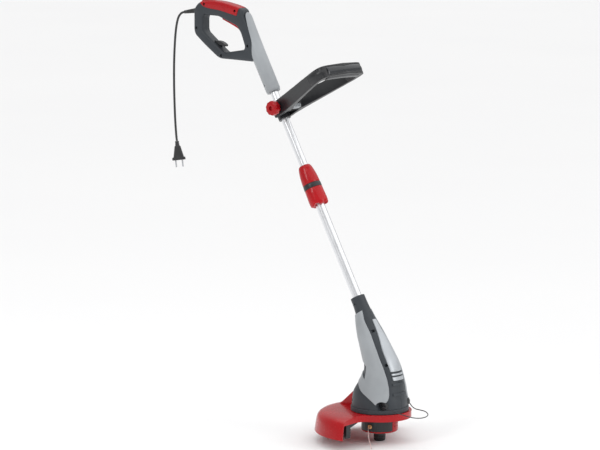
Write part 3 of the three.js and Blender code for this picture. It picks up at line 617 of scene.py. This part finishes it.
# ---------------------------------------------------------------- cords
def cord_curve(name, points, radius, count, finish, body):
    """A round cord as one open spline through the points."""
    curve = bpy.data.curves.new(name, "CURVE")
    curve.dimensions, curve.bevel_depth, curve.bevel_resolution = "3D", radius * MM, 6
    curve.use_fill_caps, curve.resolution_u = True, 8
    spline = curve.splines.new("BEZIER")
    line = smooth_line(points, count)
    spline.bezier_points.add(count - 1)
    for knot, place in zip(spline.bezier_points, line):
        knot.co = place * MM
        knot.handle_left_type = knot.handle_right_type = "AUTO"
    curve.materials.append(finish)
    piece = bpy.data.objects.new(name, curve)
    scene.collection.objects.link(piece)
    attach(piece, body)
    length = sum((b - a).length for a, b in zip(line, line[1:])) * MM
    return piece, length


SUPPLY_PATH = [
    (-692.55, 0, 1059.0), (-703, 0, 1056), (-713, 0, 1047.5), (-719.5, 0, 1034), (-724.5, 0, 1014),
    (-728.5, 0, 985), (-732.5, 0, 930), (-733.5, 0, 875), (-732.5, 0, 821), (-730, 0, 767),
    (-726.5, 0, 727),
    (-724.2, 0, 710.6),
]
LINE_PATH = [
    (7.2, -44.6, 43), (7.9, -48.6, 43), (9.5, -54, 42.3), (17, -64, 38.5), (27.5, -75.5, 30),
    (39.5, -86, 19.5),
    (52, -95, 9), (60, -100.5, 2.6),
]
PLUG = move(-724.15, 0, 710.2) @ spin(-8.5, "Y") @ spin(25, "Z")


def plug():
    """A slim two-pin plug: ribbed neck, flared flat body and a flange round its face."""
    rows = [
        (0, 0, 0, 4.3, 4.3), (0, -2, 0, 5.6, 5.4), (0, -5, 0, 5.0, 4.9), (0, -8, 0, 5.7, 5.5),
        (0, -12, 0, 5.9, 5.6),
        (0, -15, 0, 8.4, 6.6), (0, -24, 0, 10.4, 7.2), (0, -36, 0, 13.2, 7.6), (0, -43.5, 0, 15.4, 7.8),
        (0, -44.5, 0, 18.4, 8.2), (0, -50, 0, 18.9, 8.4), (0, -51.5, 0, 18, 7.8),
    ]
    body = lofted(rows, 0, 48, 66)
    for z in (-20, -24.5, -29, -33.5):
        ring = turned([(19.0, z), (19.0, z - 1.2), (30, z - 1.2), (30, z)], 48)
        shifted(ring, Matrix.Diagonal((0.62 - (z + 20) * 0.012, 0.37, 1, 1)))
        cut(body, ring)
    shifted(body, PLUG)
    shown(body, "plug_moulding", "rear_handle", RUBBER, ["plug_body"], crease=38)
    pins = []
    for n, x in enumerate((-9.5, 9.5)):
        pin = turned([(0, -70.5), (0.9, -70.4), (1.6, -70.0), (2, -69), (2, -51.8), (0, -51.8)], 32)
        shifted(pin, PLUG @ move(x, 0, 0))
        pins.append(shown(pin, f"plug_prong_{n + 1}", "rear_handle", STEEL, [f"plug_pin_{n + 1}"]))
    return [body, *pins]


def sleeve():
    """The tapered sleeve that keeps the cord from kinking where it leaves the handle."""
    profile = [(0, -3), (6.6, -3), (6.5, 7.4)]
    for n in range(5):
        z, r = 8.2 + 5.2 * n, 6.2 - 0.28 * n
        profile += [(r - 0.9, z), (r - 0.9, z + 1.6), (r, z + 2.2), (r - 0.1, z + 4.6)]
    profile += [(4.9, 35), (4.3, 45.2), (0, 45.2)]
    piece = turned(profile, 48)
    shifted(piece, move(-647.2, 0, 1065.7) @ spin(-98.4, "Y"))
    return shown(piece, "cord_sleeve", "rear_handle", RUBBER, ["strain_relief"])


def supply():
    piece, length = cord_curve("mains_cord", SUPPLY_PATH, CORD_R, 24, RUBBER, "rear_handle")
    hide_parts("supply_cord")
    with_it = plug()
    sleeve()


def loose_line():
    piece, length = cord_curve("trimmer_line", LINE_PATH, 0.9, 20, NYLON, "cutting_head")
    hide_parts("cutting_line")


camera()
supply()
loose_line()

# ---------------------------------------------------------------- the head
HEAD_ROWS = [
    (-76.8, 362, 29.85, 18.7, 18.7), (-66.5, 344, 29.85, 19, 19), (-57, 326, 29.85, 20.8, 20.8),
    (-49, 306, 29, 25.5, 25.5), (-36, 279, 26, 31, 31), (-23, 255, 22, 35, 35), (-11, 232, 18, 38.5, 38.5),
    (1, 209, 13, 42.3, 42.3), (7, 190, 8, 46.3, 46.3), (8, 172, 4, 51.5, 51.5), (6, 156, 1, 57.5, 57.5),
    (3, 142, 0, 63, 63), (0, 128, 0, 67.5, 67.5), (0, 110, 0, 70.6, 70.6), (0, 92, 0, BASE_R, BASE_R),
]
COVER_FACE = [
    (-46, 333), (-34, 309, 8), (-11, 279, 8), (17.5, 233, 8), (39.5, 197, 8), (51, 170, 8), (57.5, 146, 8),
    (59.5, 128, 6), (59, 113, 6), (50, 103, 4), (42, 103, 3), (30, 114.5, 6), (18, 123.5, 8), (5, 131, 10),
    (-8, 138, 10), (-21, 147.5, 10), (-45, 163), (-110, 185), (-110, 292), (-94, 301.4),
]
SLOT_FACE = [(-5, 164), (-8, 197, 3), (-27, 206, 4), (-80, 210), (-80, 190), (-29, 178, 4)]
HEAD_SCREWS = [(-9.5, 284, -8), (41.5, 203.2, -12), (-48, 106, -41)]
SPINE_EDGE = [
    (-6, 312, 3), (-8.5, 290, 10), (-14, 262, 10), (-19.5, 238, 12), (-21.5, 210, 10), (-20, 190, 6),
    (-19, 165.5, 2), (19, 165.5, 2), (20, 190, 6), (21.5, 210, 10), (19.5, 238, 12), (14, 262, 10),
    (8.5, 290, 10),
    (6, 312, 3),
]


def boss_pocket(r):
    x, z = WIRE_AXIS
    return [cross(r, x, z, 36, 80), cross(r, x, z, -80, -36)]


def head_skin(outer, inner):
    return cut(lofted(HEAD_ROWS, outer), lofted(HEAD_ROWS, inner))


def spine_band(low, high, inset=0.0):
    """The part of the spine's outline between two heights, in front of the middle of the head."""
    band = plate([eased(SPINE_EDGE)], -100, 160, 0.0, -inset, lambda u, v, w: (w, u, v))
    common(band, slab([(-50, 330), (8, 160), (160, 160), (160, 330)], -60, 60))
    return common(band, box(-100, 200, -99, 99, low, high))


def side_panels():
    skin = common(head_skin(2.4, GAP), slab(COVER_FACE, -120, -0.2))
    cut(skin, slab(SLOT_FACE, -120, 5), *boss_pocket(11.5), cross(1.8, -53, 263, -60, 0))
    cut(skin, *[cross(4.5, x, z, -80, -2) for x, z, _ in HEAD_SCREWS])
    other = copied(skin, "side_panel_right", flip=True)
    shown(skin, "side_panel_left", "lower_shaft_and_head", GREY, ["side_cover_left"],
          30, 0.6)
    shown(other, "side_panel_right", "lower_shaft_and_head", GREY, ["side_cover_right"],
          30, 0.6)


def front_spine():
    """The silver spine, and two ribs under it on a web coloured dark slate as painted shade in the grooves.
    """
    spine = common(head_skin(2.7, GAP), spine_band(187.5, 330))
    upper = common(head_skin(3.9, 1.0), spine_band(178.2, 182.4))
    lower = common(head_skin(3.9, 1.0), spine_band(165.5, 174))
    shown(gathered(spine, upper, lower), "front_spine", "lower_shaft_and_head", SILVER, ["front_cover"],
          30, 0.6)
    # The web is silver like the spine. Here it is coloured dark slate as painted shade in the grooves
    # between the ribs.
    painted_shade_web = common(head_skin(0.9, GAP), spine_band(165.8, 187.2, 0.3))
    shown(painted_shade_web, "spine_web_painted_shade", "lower_shaft_and_head", SLATE)


def head_halves():
    """Dark half shells with two ridges."""
    shell = lofted(HEAD_ROWS, 0.0)
    for wide, low, high in ((22, 152.5, 158.5), (23.5, 126.5, 133)):
        joined(shell, common(head_skin(3.2, -1.0), box(0, 120, -wide, wide, low, high)))
    cut(shell, on_shaft(rod(LOWER_TUBE_R + GAP, -82, 10)), *boss_pocket(11.2))
    cut(shell, *[cross(3.9, x, z, -80, head + 2.7) for x, z, head in HEAD_SCREWS])
    cut(shell, *[box(-90, -30, -20, 20, 190 + 7 * n, 193 + 7 * n) for n in range(2)])
    cut(shell, cross(2.2, -70, 346, -40, -14))
    half = copied(shell, "head_half_right")
    common(shell, box(-300, 300, -300, -0.2, 0, 500))
    common(half, box(-300, 300, 0.2, 300, 0, 500))
    shown(shell, "head_half_left", "lower_shaft_and_head", SLATE, ["head_shell_left"],
          30, 0.5)
    shown(half, "head_half_right", "lower_shaft_and_head", SLATE, ["head_shell_right"],
          30, 0.5)


side_panels()
front_spine()
head_halves()

# ---------------------------------------------------------------- the guard
def polar(r, degrees):
    return r * math.cos(math.radians(degrees)), r * math.sin(math.radians(degrees))


def guard_rim(inset):
    """Seen from above: a round plate in front, and a wide skirt that ends sooner on the far side."""
    front, rear = GUARD_FRONT_R - inset, GUARD_REAR_R + 20 - inset
    ends = [(polar(r, GUARD_END)[0] - inset, polar(r, GUARD_END)[1]) for r in (108, rear)]
    corner = [(22.5 - inset, 80.5), (16 - inset, 88.5), (12.6 - inset, 97), *ends]
    c, s = polar(1, GUARD_FAR_TURN)
    rim = [polar(front, a) for a in range(-66, 93, 2)]
    rim += [(x * c - y * s, x * s + y * c) for x, y in corner]
    rim += [polar(rear, a) for a in range(114, 274, 5)]
    return rim + [(x, -y) for x, y in reversed(corner)]


def guard():
    outer = [(0, GUARD_FOOT), (GUARD_REAR_R - 0.4, GUARD_FOOT), (GUARD_REAR_R + 0.5, GUARD_FOOT + 1.2),
             (164, 45),
             (161.5, 60), (159, 67), (156, 71), (150, 75), (140, 77.2), (125, 79), (90, GUARD_TOP),
             (0, GUARD_TOP)]
    inner = [(0, 10), (165.8, 10), (163.4, 27), (160.8, 45), (158.4, 59.5), (155, 67.6), (148.5, 72.3),
             (124, 75.8),
             (90, GUARD_TOP - 3.2), (0, GUARD_TOP - 3.2)]
    dome = cut(turned(outer, 180), turned(inner, 180))
    common(dome, floor_plan(guard_rim(0), -10, 140))
    lip = common(cut(floor_plan(guard_rim(0), -10, 140), floor_plan(guard_rim(3), -20, 150)),
                 turned(outer, 180))
    common(lip, box(-300, 300, -300, 300, GUARD_LIP, 100))
    bead = turned([(78.2, 78.6), (80.6, 78.6), (81.7, 79.3), (81.9, 80.2), (81.2, 81.1), (80.2, 81.3),
                   (78.2, 80.2)], 180)
    common(bead, box(36, 200, -200, 200, 0, 200))
    fin = slab([(-146, 55), (-132, 78), (-119, 87, 8), (-94, 109, 12), (-74, 126, 4), (-60, 127),
                (-60, 55)],
               -9, 9, round_by=3)
    common(fin, box(-300, 0, -50, 50, 77, 200))
    cut(fin, lofted(HEAD_ROWS, 0.8), rod(75.4, 79, 92.8, 96))
    joined(dome, lip, bead, fin)
    cut(dome, rod(20, 60, 100), common(box(-60, 200, -60, 60, 80.01, 140), rod(76, 80.01, 140, 96)))
    shown(dome, "line_guard", "lower_shaft_and_head", RED, ["guard"], 34, 0.7)


guard()

# ---------------------------------------------------------------- shaft and twist lock
def shaft():
    lower = cut(rod(LOWER_TUBE_R, -78, 322, 96), rod(LOWER_TUBE_R - TUBE_WALL, -79, 323, 96))
    upper = cut(rod(UPPER_TUBE_R, 150, 700, 96), rod(UPPER_TUBE_R - TUBE_WALL, 149, 701, 96))
    shown(on_shaft(lower), "outer_tube", "lower_shaft_and_head", ALUMINIUM, ["lower_tube"])
    shown(on_shaft(upper), "inner_tube", "rear_handle", ALUMINIUM, ["upper_tube"])


def twist_lock():
    low = turned([(12.3, 259), (18.6, 258), (22.2, 259.6), (23.8, 262.4), (24.5, 267), (24.7, 273),
                  (24.1, 290),
                  (23.7, 304.6), (23.2, 305.6), (12.3, 305.6)])
    for k in range(4):
        bite = shifted(rod(12, 10, 40, 48), spin(90 * k + 20, "Z") @ move(0, 0, 251) @ spin(90, "Y"))
        cut(low, bite)
    ring = turned([(12.3, 306), (23.2, 306), (24, 306.9), (24, 312), (23.5, 317.8), (23, 318.6),
                   (12.3, 318.6)])
    nut = turned([(18, 319), (22.7, 319), (23.3, 320), (23.4, 324), (22.7, 336), (21.2, 348),
                  (18.9, 360), (17.2, 366),
                  (15.2, 369.6), (13, 371), (10.7, 371), (10.7, 352), (14.6, 350), (18, 337)])
    for k in range(8):
        flute = shifted(rod(2.6, 322, 380, 24), spin(45 * k, "Z") @ move(66.4, 0, 0) @ spin(-7, "Y"))
        cut(nut, flute)
    shown(on_shaft(low), "lock_foot", "lower_shaft_and_head", RED, ["lock_sleeve"], 34, 0.5)
    shown(on_shaft(ring), "lock_band", "lower_shaft_and_head", BLACK, ["lock_ring"], 34)
    shown(on_shaft(nut), "twist_nut", "twist_lock_nut", RED, ["lock_nut"], 34, 0.4)


shaft()
twist_lock()

# ---------------------------------------------------------------- rear handle
HANDLE_EDGE = [
    (-644, 1073, 13), (-624, 1091.7, 14), (-576, 1096.5, 30), (-543, 1094, 20), (-518, 1090, 20),
    (-491, 1085, 14),
    (-469, 1077.5, 8), at(802, 13), at(586, 15), at(584, -18), at(681, -18.5),
    (-507, 944.5, 20), (-553, 944.5, 14), (-604, 977, 14), (-644, 1006, 14),
]
FINGER_GAP = [
    (-612, 1049, 7), (-607, 1057, 5), (-556, 1056, 4), (-489, 1034, 3),
    (-474, 1018, 12), (-459, 981, 5), (-463, 973, 5), (-535, 961, 6), (-571, 985, 6), (-612, 1014, 8),
]
INSERT_FACE = [
    (-625, 1120), (-622, 1091, 4), (-610, 1081, 4), (-592, 1076, 8), (-550, 1072.5, 8), (-522, 1067.5, 8),
    (-486, 1060.5, 3), (-480, 1078, 2), (-478, 1120),
]
HANDLE_SCREWS = [(-633, 1021), (-543, 953), (-447.5, 984), (-604.8, 1085.5), (-493, 1073)]
HOOK_FACE = [
    (-592, 983), (-576, 990, 3), (-560, 990.5, 6), (-547, 987, 5), (-537, 981, 3), (-538.5, 975.5, 2.5),
    (-549, 979, 4), (-557, 978.5, 5), (-563, 971, 4), (-574, 962), (-586, 969),
]


def handle_blank(grow=0.0):
    half = HANDLE_HALF + grow
    return slab(HANDLE_EDGE, -half, half, hole=FINGER_GAP, round_by=6.5 + grow, grow=grow)


def neck_outer(grow=0.0):
    return on_shaft(turned([
        (0, 582 - grow), (13 + grow, 582 - grow), (17.2 + grow, 584), (19.2 + grow, 590),
        (19.4 + grow, 700),
        (20.4 + grow, 760), (21.6 + grow, 795), (21.2 + grow, 801), (19.6 + grow, 806),
        (17 + grow, 809.5 + grow),
        (13 + grow, 811.6 + grow), (0, 812 + grow)]))


def neck_inner(grow=0.0):
    return on_shaft(turned([
        (0, 584.6 - grow), (15.4 + grow, 584.6 - grow), (16.8 + grow, 592), (17 + grow, 700),
        (18 + grow, 760),
        (19 + grow, 795), (16 + grow, 806), (0, 809 + grow)]))


def neck_zone(shift):
    """Everything in front of the wavy joint between the cover and the handle."""
    return slab([
        at(830, 24.5 + shift), at(807, 19.5 + shift), at(770, 14 + shift), (*at(722, 8.5 + shift), 12),
        (*at(697, -6 + shift), 12), (*at(683 - shift, -17), 6), at(681 - shift, -40), at(560, -40),
        at(560, 60),
        at(830, 60)], -60, 60)


def tilted_box(x0, x1, y0, y1, z0, z1):
    return on_shaft(box(x0, x1, y0, y1, z0, z1))


def rear_handle():
    bore = on_shaft(rod(UPPER_TUBE_R + GAP, 560, 701))
    cover = common(neck_outer(), neck_zone(0.2))
    cut(cover, neck_inner(), tilted_box(-60, 0, -7.4, 7.4, 560, 700))
    cut(cover, bore, keep=True)
    cut(cover, cross(2.6, -386, 884, -60, -2))
    shown(cover, "neck_shell", "rear_handle", GREY, ["neck_cover"], 34, 0.6)

    skin = cut(common(slab(INSERT_FACE, -60, 60), handle_blank(0.7)), handle_blank(-2))
    cut(skin, *[cross(3.9, x, z, -40, -4) for x, z in HANDLE_SCREWS[3:]])
    cut(skin, slab([(-622.5, 1083), (-622.5, 1110), (-576.5, 1110), (-576.5, 1083)], -6.4, 6.4))
    shown(skin, "grip_inlay", "rear_handle", RED, ["grip_insert"], 34, 0.5)

    handle = handle_blank()
    cut(handle, common(neck_outer(GAP), neck_zone(0)))
    cut(handle, cut(tilted_box(-60, 60, -60, 60, 560, 683), neck_outer(GAP)))
    cut(handle, tilted_box(-40, 40, -40, 40, 560, 592))
    joined(handle, common(neck_inner(-GAP), neck_zone(-3)))
    joined(handle, common(tilted_box(-19.4, -6, -7, 7, 585, 700), neck_outer(1.2)))
    cut(handle, bore)
    cut(handle, cut(common(slab(INSERT_FACE, -60, 60, grow=GAP), handle_blank(4)), handle_blank(-2.3)))
    cut(handle, slab([(-622.5, 1087), (-622.5, 1110), (-576.5, 1110), (-576.5, 1087)], -6.4, 6.4))
    cut(handle, slab([(-550, 1040), (-550, 1073), (-509, 1062), (-478, 1052.5), (-468.5, 1040),
                      (-468.5, 1011),
                      (-480, 1009)], -7.5, 7.5))
    cut(handle, slab(HOOK_FACE, -6.9, 6.9, grow=GAP), slab([(-609, 1008), (-581, 989), (-587, 980),
                                                            (-615, 999)], -6, 6))
    cut(handle, *[cross(3.9, x, z, -40, -7.8) for x, z in HANDLE_SCREWS])
    half = copied(handle, "handle_half_right")
    common(handle, box(-900, 0, -60, -0.2, 700, 1300))
    common(half, box(-900, 0, 0.2, 60, 700, 1300))
    shown(handle, "handle_half_left", "rear_handle", SLATE, ["handle_shell_left"], 34, 0.4)
    shown(half, "handle_half_right", "rear_handle", SLATE, ["handle_shell_right"], 34, 0.4)


rear_handle()

# ---------------------------------------------------------------- front handle
OUTER_PLAN = [(-22, 30.5, 6), (12, 31, 20), (150, 67, 30), (200, 80, 22), (231, 77, 26), (238, 0),
              (231, -77, 26),
              (200, -80, 22), (150, -67, 30), (12, -31, 20), (-22, -30.5, 6)]
INNER_PLAN = [(38, 18.7, 4), (62, 28, 14), (150, 56, 30), (195, 66.5, 12), (206, 64, 6), (210, 0),
              (206, -64, 6),
              (195, -66.5, 12), (150, -56, 30), (62, -28, 14), (38, -18.7, 4)]
SIDE_FACE = [(-21, -22, 6), (60, -19.5, 30), (200, -16, 20), (246, -15), (246, 15), (190, 15.5, 20),
             (60, 17.5, 30),
             (2, 19, 12), (-20, 9, 10)]


def grip_line(reach):
    return [(217, -reach, 0), (219.6, -reach / 2, 0), (220.6, 0, 0), (219.6, reach / 2, 0), (217, reach, 0)]


def front_handle():
    """The forked loop and the thick grip across its end."""
    loop = cut(floor_plan(OUTER_PLAN, -26, 26, 3), floor_plan(INNER_PLAN, -40, 40))
    cut(loop, box(-60, 24, -18.7, 18.7, -40, 40), box(20, 60, -18.7, 18.7, -3, 40))
    common(loop, slab(SIDE_FACE, -100, 100))
    for side in (-1, 1):
        turn = [(176, 68 * side, 0), (200, 71 * side, 0), (213, 66.5 * side, 0), (217, 60 * side, 0)]
        joined(loop, bent(turn, 15.5, 32, 14))
    cut(loop, bent(grip_line(60), 18.3, 48, 12), cross(3.3, 0, 0, -60, 60))
    cut(loop, slab([(25.5, -20), (25.5, -6), (39.5, -6, 4), (41, -12, 3), (38.5, -20, 3)], -14.8, 14.8))
    cut(loop, box(27, 60, -14.8, 14.8, -19.8, -4))
    softened(loop, 0.9, 8, 0.25)
    shown(shifted(loop, LOOP), "front_fork", "front_loop", BLACK, ["front_handle"], 180)
    grip = swept(smooth_line(grip_line(61), 40), [17.2] + [18.1] * 38 + [17.2], 64)
    shown(shifted(grip, LOOP), "grip_sleeve", "front_loop", GRIP, ["front_grip"], 40)


def clamp_knob():
    lobes = []
    for k in range(96):
        a = 2 * math.pi * k / 96
        lobes.append(polar(18.6 + 0.6 * math.cos(10 * a), math.degrees(a)))
    knob = slab(lobes, -55.5, -36, round_by=4.5)
    joined(knob, cross(11, 0, 0, -37, -32.4))
    cut(knob, cross(3.3, 0, 0, -46.5, 0), cross(6, 0, 0, -70, -50))
    shown(shifted(knob, LOOP), "star_knob", "clamp_knob", RED, ["clamp_knob"], 34, 0.4)


front_handle()
clamp_knob()

# ---------------------------------------------------------------- plant guard
WIRE_PATH = [
    (50, -40.5, 102.5), (50, -47.2, 102.5), (52.5, -51.5, 102.3), (60, -53, 101.5), (72, -52.3, 99),
    (86, -51.3, 96),
    (104, -49.8, 92.8), (120, -46, 89.5), (131.5, -36, 85), (138, -19, 80.5), (138.5, 4, 77.5),
    (134, 26, 77),
    (125, 42, 79), (110, 49.5, 82.5), (92, 51, 83.5), (76, 52, 84), (64, 53.6, 87.5), (56, 53.6, 94.5),
    (52, 51.5, 101), (50, 47.2, 102.5), (50, 40.5, 102.5),
]
shown(bent(WIRE_PATH, 1.25, 16, 160), "guard_wire", "plant_guard", DARK_STEEL, ["wire_guard"])

# ---------------------------------------------------------------- carried-over solids get their finish
SLOTS = {row["node"]: row["material_slot"] for row in frame["record"]["subparts"]}
SPECIAL = {"line_blade": DARK_STEEL}
for name, node in frame["nodes"].items():
    node.data.materials.clear()
    node.data.materials.append(SPECIAL.get(name, FINISHES[SLOTS[name]]))
    node.data.polygons.foreach_set("use_smooth", [True] * len(node.data.polygons))
    node.data.set_sharp_from_angle(angle=CAD_CREASE)

# ---------------------------------------------------------------- studio
def studio():
    """A wide pale floor, an even white sky, a soft sun overhead and two large lamps."""
    floor = box(-FLOOR_HALF, FLOOR_HALF, -FLOOR_HALF, FLOOR_HALF, FLOOR_DEEP, FLOOR_TOP)
    floor.name = "studio_floor"
    floor.data.materials.append(pale_floor())
    world = bpy.data.worlds.new("studio")
    scene.world = world
    world.use_nodes = True
    sky = world.node_tree.nodes["Background"].inputs
    sky[0].default_value, sky[1].default_value = (1.0, 1.0, 1.0, 1.0), WORLD_GLOW
    scene.view_settings.view_transform = "Standard"
    ceiling = bpy.data.lights.new("ceiling", "SUN")
    ceiling.energy, ceiling.angle = SUN_POWER, SUN_SPREAD
    holder = bpy.data.objects.new("ceiling", ceiling)
    scene.collection.objects.link(holder)
    holder.rotation_euler = SUN_TILT
    soft_light("key", (-0.4, -3.0, 2.6), (-0.3, 0, 0.6), 0.9, 1.6)
    soft_light("side", (3.4, 0.9, 1.5), (-0.2, 0, 0.6), 0.6, 2.2)


studio()
